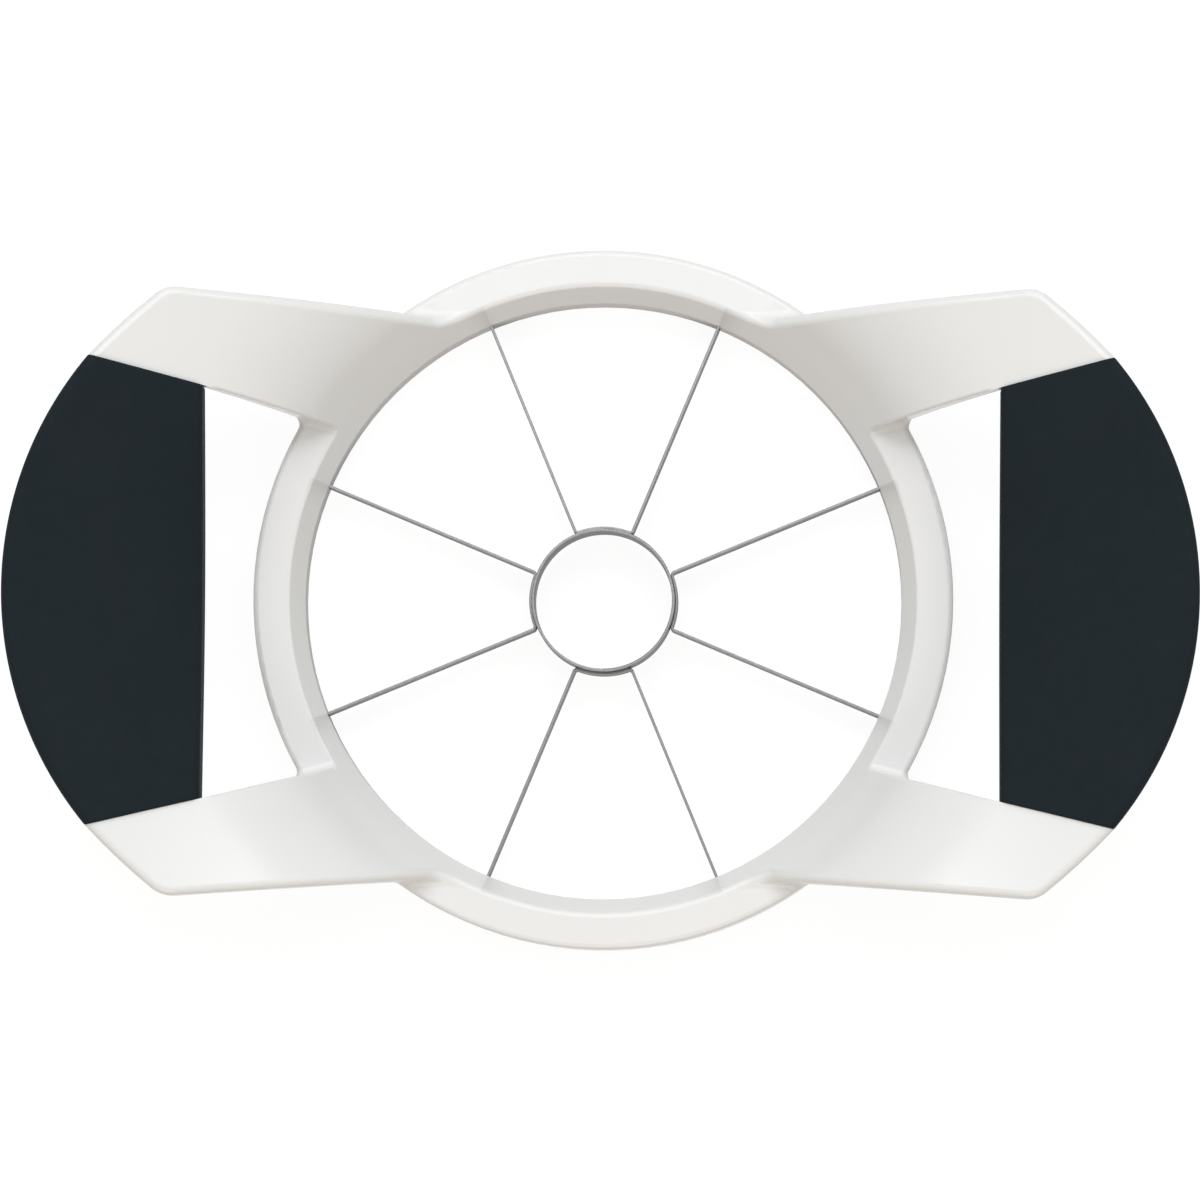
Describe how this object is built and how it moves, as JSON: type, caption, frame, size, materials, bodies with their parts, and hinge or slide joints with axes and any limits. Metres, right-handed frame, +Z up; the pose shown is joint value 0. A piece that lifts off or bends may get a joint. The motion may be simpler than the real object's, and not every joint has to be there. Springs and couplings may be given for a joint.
{
  "type": "apple slicer and corer",
  "caption": "Hand-held apple slicer and corer: a white ring on rising arms with soft black grips, radial steel blades and a central corer tube.",
  "frame": {"origin": "on the surface that the ring stands on, under the centre of the ring", "axes": "+Z up, against the push; +X from the ring to one handle; +Y across the handles"},
  "size_m": [0.2018, 0.12, 0.0422],
  "materials": {
    "white_plastic": "glossy warm-white moulded plastic",
    "black_grip": "matte black soft-touch elastomer",
    "blade_steel": "fine-ground stainless strip"
  },
  "bodies": {
    "root": {"frame": "white_plastic", "grip_left": "black_grip", "grip_right": "black_grip", "corer_ring": "blade_steel", "blade_right": "blade_steel", "blade_back": "blade_steel", "blade_left": "blade_steel", "blade_front": "blade_steel"}
  },
  "joints": []
}
